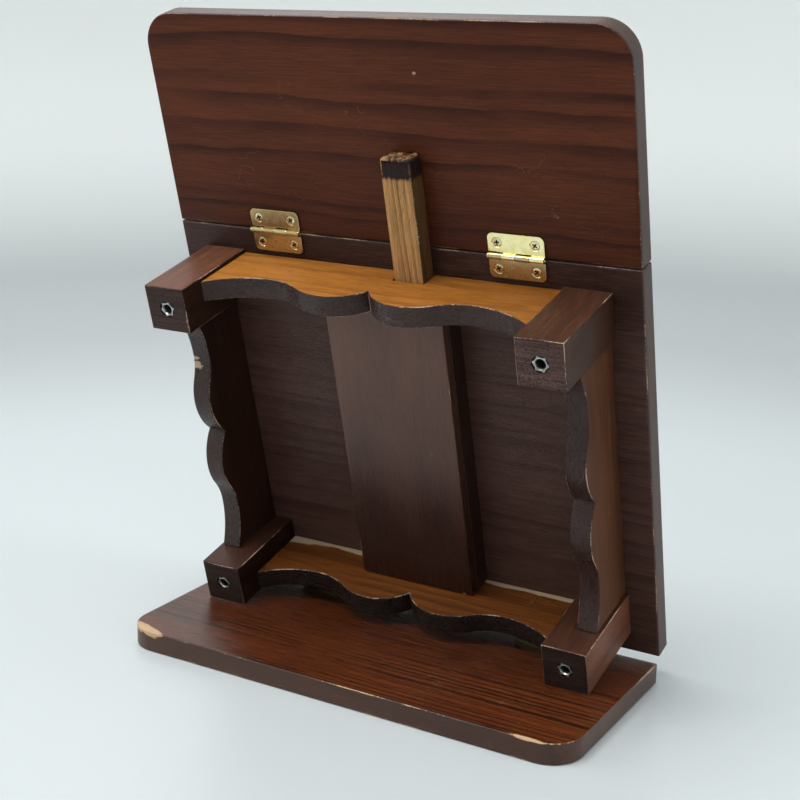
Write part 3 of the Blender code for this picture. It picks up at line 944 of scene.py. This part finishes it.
cover_wood = wood("housing cover", grain_turn(up, across), (0.027, 0.0078, 0.004),
                  (0.138, 0.054, 0.032), (0.022, 0.008, 0.005), pitch=16, waver=18,
                  fibre=0.7, streak=0.15, rings=0.2, pores=0.0, dots=0.25, rough=(0.26, 0.34),
                  gloss=0.4, coat=0.09, relief=0.03, blemish=0.8, fade=painted_shade_low)
rail_wood = wood("housing rail", grain_turn(up, out), (0.030, 0.014, 0.010),
                 (0.055, 0.026, 0.018), (0.018, 0.009, 0.007), pitch=8, rings=0.4,
                 rough=(0.4, 0.5), coat=0.1)
low, high = span("housing_cover")
cover = stick("housing_cover_board", low, high)
soften(cover, 0.7 * MM)
mark_arrises(cover)
set_down(cover, leaning)
paint(cover, (cover_wood, everywhere))
stand_for(cover, "housing_cover")
for node in ("housing_rail_left", "housing_divider", "housing_rail_right"):
    nodes[node].data.materials.clear()
    nodes[node].data.materials.append(rail_wood)
glue = primitive(bpy.ops.mesh.primitive_uv_sphere_add, "glue_drop", segments=24,
                 ring_count=12, radius=1.7 * MM, scale=(1.3, 1, 0.55), location=(
                     high.x - 5 * MM, low.y + 1.2 * MM, low.z + 0.5 * MM))
set_down(glue, leaning)
paint(glue, (low_wood, everywhere))
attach(glue, "table_frame")
print(cover.name, len(cover.data.polygons), "faces")

# %% [markdown]
# ## Lopers
# A loper is bare wood: it is rubbed by its channel and never lacquered, but its last
# centimetre was dipped in the dark stain so that it wouldn't show past the edge. The tip
# has a worn chamfer all round.

# %% Loper finish
STAINED, FRAYED = 9.5, 2.2


def stained_tip(tip, sign):
    """A frayed mask over the tip; sign is the way it points along the board."""
    def mask(lined):
        run = coordinates(lined)["X"]
        back_off = maths("MULTIPLY_ADD", run, -sign, sign * tip / MM)
        back_off = swayed(back_off, noise(stretched(lined, (0.12, 1.4, 1.4)), 1.0, 2.0), 3.5)
        stain = spread(back_off, STAINED, STAINED + FRAYED, 1.0, 0.0)
        stain = times(stain, spread(worn_arrises(lined, 0.32), 0, 1, 1, 0.25, "LINEAR"))
        thin = spread(noise(lined, 0.32, 3.0, 0.6), 0.46, 0.56)
        thin = times(thin, spread(back_off, -0.6, 1.6, 0.8, 0.0))
        return times(stain, maths("SUBTRACT", 1.0, thin))
    return mask


def loper_finish(name, tip, sign, tone=1.0):
    return wood(name, grain_turn(up, across), shaded((0.31, 0.150, 0.052), tone),
                shaded((0.65, 0.355, 0.138), tone), shaded((0.10, 0.042, 0.014), tone),
                pitch=4.6, waver=6, fibre=0.5, rings=0.85, pores=0.4, mottle=0.3,
                raw=(0.62, 0.42, 0.24), bareness=-0.1, rough=(0.55, 0.7), gloss=0.15,
                coat=0.0, relief=0.25, dip=stained_tip(tip, sign))


print("loper finish ready")


# %% The two lopers
def loper(name, node, sign):
    low, high = span(node)
    piece = stick(name, low, high)
    tip = high.z if sign > 0 else low.z
    with editing(piece):
        pick("EDGE", lambda edge: abs(middle(edge).z - tip) < 0.1 * MM)
        bpy.ops.mesh.bevel(offset=1.5 * MM, segments=2, affect="EDGES", profile=0.6)
    soften(piece, 0.8 * MM, segments=2, border=1.2 * MM, least=50)
    with editing(piece):
        pick("FACE", lambda face: middle(face).z * sign > (tip * sign - 1.4 * MM)
             and abs(face.normal.z) < 0.98)
        tip_points = {point.index for face in bmesh.from_edit_mesh(piece.data).faces
                      if face.select for point in face.verts}
    mark_arrises(piece)
    for index in tip_points:
        piece.data.attributes["arris"].data[index].value = 1.0
    set_down(piece, leaning)
    world_tip = (grain_turn(up, across).to_matrix() @ (leaning @ Vector((0, 0, tip)))).x
    # Painted shade: the sides take a copy of the finish at about a quarter of its brightness.
    paint(piece, (loper_finish(f"{name}_side", world_tip, sign, 0.26), everywhere),
          (loper_finish(f"{name}_face", world_tip, sign), facing(out, -out, up, -up, share=0.6)))
    stand_for(piece, node)
    print(name, len(piece.data.polygons), "faces")


loper("drawn_loper_slide", "loper_upper", 1)
loper("stowed_loper_slide", "loper_lower", -1)

# %% [markdown]
# ## Metal finishes
# Stamped brass has faint rolling lines, a cloudy tarnish that dulls it in patches, and
# bright edges where the tarnish has rubbed off. The leaf plates are painted brighter than
# the board plates, and darker left of the middle, as painted reflection. The screws and
# inserts are plated, so they are greyer, and their recesses are painted near black.


# %% Metals
def metal(name, bright, dull, rough=(0.16, 0.36), dirt=(0.05, 0.035, 0.02), dirty=0.3,
          left=None):
    """left is a darker colour painted over the plates left of the middle, as a painted
    reflection.
    """
    material, shader, place, square = new_finish(name, board_turn)
    clouds = noise(square, 0.22, 4.0, 0.6)
    rolled = noise(stretched(square, (0.15, 4.0, 4.0)), 1.0, 2.0)
    spots = spread(noise(square, 1.6, 3.0, 0.6), 0.62 - 0.1 * dirty, 0.72)
    mark = add("Attribute", attribute_name="arris").outputs["Fac"]
    tarnish = times(spread(clouds, 0.38, 0.66), spread(mark, 0.3, 0.9, 1.0, 0.0))
    colour = mixed(tarnish, bright, dull)
    if left:
        colour = mixed(ramp_along(place, "X", -45 * MM, 30 * MM, 0.75, 0.0), colour, left)
    stained = times(spots, dirty)
    join(mixed(stained, colour, dirt), shader["Base Color"])
    sheen = maths("MULTIPLY_ADD", tarnish, rough[1] - rough[0], rough[0])
    join(maths("MULTIPLY_ADD", stained, 0.4, sheen), shader["Roughness"])
    roughened(shader, maths("MULTIPLY_ADD", rolled, 0.35, clouds), 0.02)
    shader["Metallic"].default_value = 1.0
    return material


# Painted reflection: the leaf plates' brass is paler and brighter, and darker to the left.
leaf_brass = metal("leaf plate brass", (1.0, 0.92, 0.50), (0.95, 0.84, 0.40),
                   rough=(0.2, 0.28), dirty=0.1, left=(0.36, 0.20, 0.08))
# Painted reflection: the board plates are a darker copy of the same brass.
board_brass = metal("board plate brass", (0.58, 0.50, 0.28), (0.47, 0.38, 0.18),
                    rough=(0.2, 0.3), dirty=0.12)
screw_brass = metal("screw plating", (0.88, 0.78, 0.48), (0.62, 0.50, 0.26),
                    rough=(0.14, 0.3), dirty=0.2)
# The cross recess is painted near black.
recess_dark = metal("screw recess", (0.07, 0.05, 0.025), (0.03, 0.02, 0.012),
                    rough=(0.5, 0.7), dirty=0.8)
pin_steel = metal("pin steel", (0.62, 0.61, 0.58), (0.45, 0.43, 0.38), rough=(0.2, 0.4))
zinc = metal("insert zinc", (0.50, 0.51, 0.49), (0.27, 0.28, 0.27), rough=(0.26, 0.45),
             dirt=(0.03, 0.025, 0.02), dirty=0.5)
thread_dark = metal("insert thread", (0.10, 0.10, 0.10), (0.03, 0.03, 0.03),
                    rough=(0.5, 0.7), dirty=0.7)
print("metal finishes ready")

# %% [markdown]
# ## Hinges
# A butt hinge is two stamped plates whose tabs are rolled round a pin. The plate here is
# made the same way: a flat blank is split across where the tabs begin, each of its two tabs
# is extruded to the pin, and its end is spun round the pin to make the knuckle. Turned over,
# the same plate is the hinge's other half.

# %% The hinge plate
PLATE, RISE, KNUCKLES, OWN = 0.9 * MM, 1.95 * MM, 4, (1, 3)
HINGE_LENGTH, HALF_OPEN, SLOT = 30.5 * MM, 11.75 * MM, 1.95 * MM
SCREW_ACROSS, SCREW_UP, SLACK = 10.2 * MM, 6.9 * MM, 0.12 * MM
ROLLED = math.radians(312)
far_face = RISE - 0.3 * MM
near_face = far_face - PLATE


def hinge_plate():
    half = HINGE_LENGTH / 2
    piece = stick("plate", (-half, near_face, SLOT), (half, far_face, HALF_OPEN))
    pitch = HINGE_LENGTH / KNUCKLES
    with editing(piece):
        pick("EDGE", lambda edge: abs(direction(edge).y) > 0.9
             and middle(edge).z > HALF_OPEN - 0.1 * MM)
        bpy.ops.mesh.bevel(offset=3 * MM, segments=8, affect="EDGES")
        for step in range(1, KNUCKLES):
            for side in (-SLACK, SLACK):
                pick_all()
                bpy.ops.mesh.bisect(plane_co=(step * pitch - half + side, 0, 0),
                                    plane_no=(1, 0, 0))
        owned = [(index * pitch - half, (index + 1) * pitch - half) for index in OWN]
        pick("FACE", lambda face: face.normal.z < -0.9 and face.calc_area() > 1e-6 and any(
            low < middle(face).x < high for low, high in owned))
        extrude(0, 0, -SLOT)
        bpy.ops.mesh.spin(steps=14, angle=ROLLED, center=(0, 0, 0), axis=(1, 0, 0))
        pick_all()
        bpy.ops.mesh.remove_doubles(threshold=0.005 * MM)
        face_outwards()
    soften(piece, 0.16 * MM, segments=2, border=0.22 * MM, least=50)
    for step in (-SCREW_ACROSS, SCREW_ACROSS):
        cut(piece, primitive(bpy.ops.mesh.primitive_cone_add, "countersink", vertices=40,
                             radius1=4.1 * MM, radius2=1.5 * MM, depth=2.6 * MM,
                             rotation=(-math.pi / 2, 0, 0),
                             location=(step, near_face, SCREW_UP)))
    mark_arrises(piece)
    return piece


plate = hinge_plate()
print("hinge plate:", len(plate.data.polygons), "faces")

# %% [markdown]
# ## Screws
# A countersunk screw is drawn as a disc that is extruded and narrowed down to its point. Its
# head is slightly domed, and two tapered bars cut the cross. One screw is made, then copied
# with each cross turned a little differently, as a hand leaves them.

# %% The screw
HEAD, SHANK, TOP = 2.35 * MM, 1.2 * MM, 1.05 * MM
BAR_HALF, BAR_WIDE, BAR_DEEP = 1.7 * MM, 0.42 * MM, 0.85 * MM


def cross_cutter(turn):
    bar = stick("cross_bar", (-BAR_HALF, -BAR_WIDE, TOP - BAR_DEEP),
                (BAR_HALF, BAR_WIDE, TOP + 0.5 * MM))
    with editing(bar):
        pick("FACE", lambda face: face.normal.z < -0.9)
        bpy.ops.transform.resize(value=(0.6, 0.8, 1))
    bar.rotation_euler.z = turn
    only(bar)
    bpy.ops.object.transform_apply(rotation=True)
    return bar


def make_screw():
    screw = primitive(bpy.ops.mesh.primitive_circle_add, "screw", vertices=32, radius=HEAD,
                      fill_type="NGON", location=(0, 0, TOP - 0.12 * MM))
    with editing(screw):
        bpy.ops.mesh.select_mode(type="FACE")
        pick_all()
        extrude(0, 0, -0.15 * MM)
        for drop, scale in ((HEAD - SHANK, SHANK / HEAD), (5 * MM, 1), (2.2 * MM, 0.05)):
            extrude_to(drop, scale)
        face_outwards()
        pick("FACE", lambda face: middle(face).z > TOP - 0.13 * MM)
        bpy.ops.mesh.inset(thickness=0.35 * MM, depth=0.07 * MM)
        bpy.ops.mesh.inset(thickness=0.6 * MM, depth=0.05 * MM)
        face_outwards()
    soften(screw, 0.06 * MM, segments=2, border=0, least=40)
    cut(screw, cross_cutter(0), cross_cutter(math.pi / 2))
    mark_arrises(screw)
    return screw


screw = make_screw()
print("screw:", len(screw.data.polygons), "faces")

# %% Fit the four hinges
pin = primitive(bpy.ops.mesh.primitive_cylinder_add, "pin", vertices=24, radius=0.75 * MM,
                depth=HINGE_LENGTH - 0.6 * MM, rotation=(0, math.pi / 2, 0))
soften(pin, 0.22 * MM, border=0)
mark_arrises(pin)
flip = Matrix.Rotation(math.pi, 4, "Y")
into_board = Matrix.Rotation(math.pi / 2, 4, "X")
upper_up = (leaning.inverted() @ upper_axis).z
lying_leaf = Matrix.Translation(lower_axis) @ Matrix.Rotation(-math.pi / 2, 4, "X")


def inside_recess(face):
    """The faces of the cross, below the head's rim and near its middle."""
    spot = face.center
    return TOP - 1.0 * MM < spot.z < TOP - 0.1 * MM and spot.xy.length < 1.75 * MM


def fit(model, name, place, node, slot, *finishes):
    """A copy of a model, painted in its own workshop and then set down in its place."""
    piece = copy_of(model, name)
    paint(piece, *finishes)
    set_down(piece, place)
    stand_for(piece, node)


turns = iter([12, 40, -18, 30, 5, -35, 22, 48, -8, 15, 33, -25, 44, 9, -14, 27])
for level_name, axis_up, leaf_shop, leaf_flip, board_flip in (
        ("upper", upper_up, leaning, level, flip), ("lower", 0, lying_leaf, flip, level)):
    for side in SIDES:
        node = f"hinge_{level_name}_{side}"
        low, high = span(f"{node}_pin")
        offset = Matrix.Translation(((low.x + high.x) / 2, 0, axis_up))
        leaf_place, board_place = leaf_shop @ offset, leaning @ offset
        label = f"{level_name}_{side}"
        fit(plate, f"plate_on_leaf_{label}", leaf_place @ leaf_flip, f"{node}_leaf_plate",
            "hinge_brass", (leaf_brass, everywhere))
        fit(plate, f"plate_on_board_{label}", board_place @ board_flip, f"{node}_board_plate",
            "hinge_brass", (board_brass, everywhere))
        fit(pin, f"hinge_pin_{label}", board_place, f"{node}_pin", "pin_steel",
            (pin_steel, everywhere))
        sign = 1 if level_name == "upper" else -1
        spots = [(leaf_place, sign), (board_place, -sign)]
        for count in range(4):
            place, way = spots[count // 2]
            step = (-SCREW_ACROSS, SCREW_ACROSS)[count % 2]
            seat = Matrix.Translation((step, RISE, way * SCREW_UP)) @ into_board
            seat = seat @ Matrix.Rotation(math.radians(next(turns)), 4, "Z")
            fit(screw, f"screw_{label}_{count + 1}", place @ seat, f"{node}_screw_{count + 1}",
                "screw_brass", (screw_brass, everywhere), (recess_dark, inside_recess))
for model in (plate, screw, pin):
    bpy.data.objects.remove(model)
print("hinges fitted")

# %% [markdown]
# ## Threaded inserts
# Each leg would screw into a zinc insert. Its mouth is a flat six-pointed star round a
# threaded bore. The star is a circle whose points are drawn out in five steps of scale, a
# second circle is bridged to it, and that ring is extruded inwards and outwards in turn to
# cut the thread.

# %% The insert
STAR_TIP, STAR_VALLEY, STAR_DEPTH = 4.35 * MM, 3.45 * MM, 0.9 * MM
INSERT_BORE, LIP, THREAD, TURNS = 2.75 * MM, 0.35 * MM, 0.28 * MM, 7
PER_POINT = 10


def make_insert():
    insert = primitive(bpy.ops.mesh.primitive_circle_add, "insert", vertices=6 * PER_POINT,
                       radius=STAR_VALLEY)
    with editing(insert):
        for step in range(PER_POINT // 2):
            swell = math.cos(math.pi * step / PER_POINT) ** 5
            scale = 1 + (STAR_TIP / STAR_VALLEY - 1) * swell
            pick("VERT", lambda point: abs(abs((math.degrees(math.atan2(
                point.co.y, point.co.x)) + 30) % 60 - 30) - 60 * step / PER_POINT) < 1)
            bpy.ops.transform.resize(value=(scale, scale, 1))
        bpy.ops.mesh.select_all(action="DESELECT")
        bpy.ops.mesh.primitive_circle_add(vertices=6 * PER_POINT, radius=INSERT_BORE + LIP)
        bpy.ops.mesh.select_mode(type="EDGE")
        pick_all()
        bpy.ops.mesh.bridge_edge_loops()

        def rim(low, high):
            """Picks the open edges whose distance from the middle is between two radii."""
            pick("EDGE", lambda edge: edge.is_boundary
                 and low < min(point.co.xy.length for point in edge.verts)
                 and max(point.co.xy.length for point in edge.verts) < high)

        rim(0, INSERT_BORE + 0.4 * MM)
        narrow = INSERT_BORE / (INSERT_BORE + LIP)
        extrude_to(-0.18 * MM, 0.5 + narrow / 2)
        extrude_to(0.45 * MM, 2 * narrow / (1 + narrow))
        inner = (INSERT_BORE - THREAD) / INSERT_BORE
        for _ in range(TURNS):
            extrude_to(0.4 * MM, inner)
            extrude_to(0.4 * MM, 1 / inner)
        bpy.ops.mesh.edge_face_add()
        rim(STAR_VALLEY - 0.1 * MM, 1)
        extrude(0, 0, -STAR_DEPTH)
        extrude_to(0, 0.86)
        extrude_to(11 * MM, 1)
        bpy.ops.mesh.edge_face_add()
        face_outwards()
    insert.data.materials.append(None)
    insert.data.materials.append(None)
    soften(insert, 0.07 * MM, segments=2, border=0, least=55)
    mark_arrises(insert)
    return insert


insert = make_insert()
for level_name in LEVELS:
    for side in SIDES:
        node = f"insert_{level_name}_{side}"
        low, high = span(node)
        turn = {"left": 0.2, "right": -0.15}[side]
        mouth = Matrix.Translation(((low.x + high.x) / 2, low.y, (low.z + high.z) / 2))
        fit(insert, f"threaded_{node}", leaning @ mouth @ into_board
            @ Matrix.Rotation(turn, 4, "Z"), node, "insert_steel", (zinc, everywhere),
            (thread_dark, lambda face: face.center.z < -0.5 * MM
             and face.center.xy.length < INSERT_BORE + 0.1 * MM))
print("insert:", len(insert.data.polygons), "faces")
bpy.data.objects.remove(insert)

# %% [markdown]
# ## Stage, light and camera
# A pale paper bowl stands under and all round the object, so there is no horizon from any
# side. It is a disc whose rim is extruded upwards, with the fold bevelled into a curve.

# %% The paper bowl
BOWL, WALL, FOLD = 2.3, 1.9, 1.0
bowl = primitive(bpy.ops.mesh.primitive_circle_add, "paper_bowl", vertices=96, radius=BOWL,
                 fill_type="NGON", location=(0, 0, -0.2 * MM))
with editing(bowl):
    pick("EDGE", lambda edge: edge.is_boundary)
    extrude(0, 0, WALL)
    pick("EDGE", lambda edge: len(edge.link_faces) == 2 and abs(middle(edge).z) < 0.01)
    bpy.ops.mesh.bevel(offset=FOLD, segments=16, affect="EDGES")
    pick_all()
    bpy.ops.mesh.normals_make_consistent(inside=True)
bpy.ops.object.shade_smooth()
paper, shader, place, _ = new_finish("paper", (0, 0, 0))
tone, reach = noise(place, 1.4, 2.0), distance(place)
pale = mixed(tone, (0.52, 0.555, 0.57), (0.555, 0.59, 0.61))
# Painted shade and light on the paper: it is painted darker from 0.45 m out from the middle, as
# painted shade, and much lighter again past 1.2 m, as painted light.
pale = mixed(spread(reach, 0.45, 0.9), pale, (0.42, 0.445, 0.46))
join(mixed(spread(reach, 1.2, 1.9), pale, (0.93, 0.955, 0.95)), shader["Base Color"])
shader["Roughness"].default_value = 0.35
bowl.data.materials.append(paper)
bowl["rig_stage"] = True
print("bowl:", len(bowl.data.polygons), "faces")

# %% [markdown]
# The main light is a wide soft box overhead to the left. Three weaker ones stand at the front
# left, the back left and the right, and a pale grey world fills the shadows. The camera
# doesn't see the lamps themselves.

# %% Lights and world
target = Vector((8, -2, 150)) * MM


def towards(azimuth, elevation):
    """The way to something seen from the object, with azimuth 0 at the front."""
    turn, lift = math.radians(azimuth), math.radians(elevation)
    return Vector((math.sin(turn) * math.cos(lift), -math.cos(turn) * math.cos(lift),
                   math.sin(lift)))


def soft_box(name, azimuth, elevation, distance, size, power, colour):
    lamp = bpy.data.lights.new(name, "AREA")
    lamp.shape, lamp.size, lamp.energy, lamp.color = "DISK", size, power, colour
    box = bpy.data.objects.new(name, lamp)
    away = towards(azimuth, elevation)
    box.location = target + away * distance
    box.rotation_euler = away.to_track_quat("Z", "Y").to_euler()
    box.visible_camera = False
    bpy.context.scene.collection.objects.link(box)


soft_box("overhead", -30, 70, 1.5, 1.0, 21, (1.0, 0.985, 0.96))
soft_box("left_front", -60, 26, 1.8, 0.7, 6, (0.96, 0.98, 1.0))
soft_box("left_back", -140, 42, 1.6, 0.75, 3.2, (0.97, 0.985, 1.0))
soft_box("right", 95, 35, 1.8, 1.0, 7, (0.95, 0.98, 1.0))
world = bpy.data.worlds.new("pale room")
bpy.context.scene.world = world
world.use_nodes = True
sky = world.node_tree.nodes["Background"].inputs
sky["Color"].default_value = (0.80, 0.86, 0.90, 1)
sky["Strength"].default_value = 0.40
bpy.context.scene.view_settings.view_transform = "Standard"
print("lamps:", [lamp.name for lamp in bpy.data.lights])

# %% [markdown]
# The camera stands a little above the object, 30 degrees round to its right, and is tipped
# about a degree, as a hand-held one is.

# %% Camera
AZIMUTH, ELEVATION, TIPPED, DISTANCE = 30.34, 14.84, 1.08, 769.4 * MM
eye = bpy.data.cameras.new("camera")
eye.lens, eye.sensor_width = 67.1, 36
camera = bpy.data.objects.new("camera", eye)
away = towards(AZIMUTH, ELEVATION)
camera.location = target + away * DISTANCE
aim = away.to_track_quat("Z", "Y").to_matrix() @ Matrix.Rotation(math.radians(TIPPED), 3, "Z")
camera.rotation_euler = aim.to_euler()
bpy.context.scene.collection.objects.link(camera)
bpy.context.scene.camera = camera
print("camera at", [round(part, 3) for part in camera.location])

# %% Finish
low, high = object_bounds()
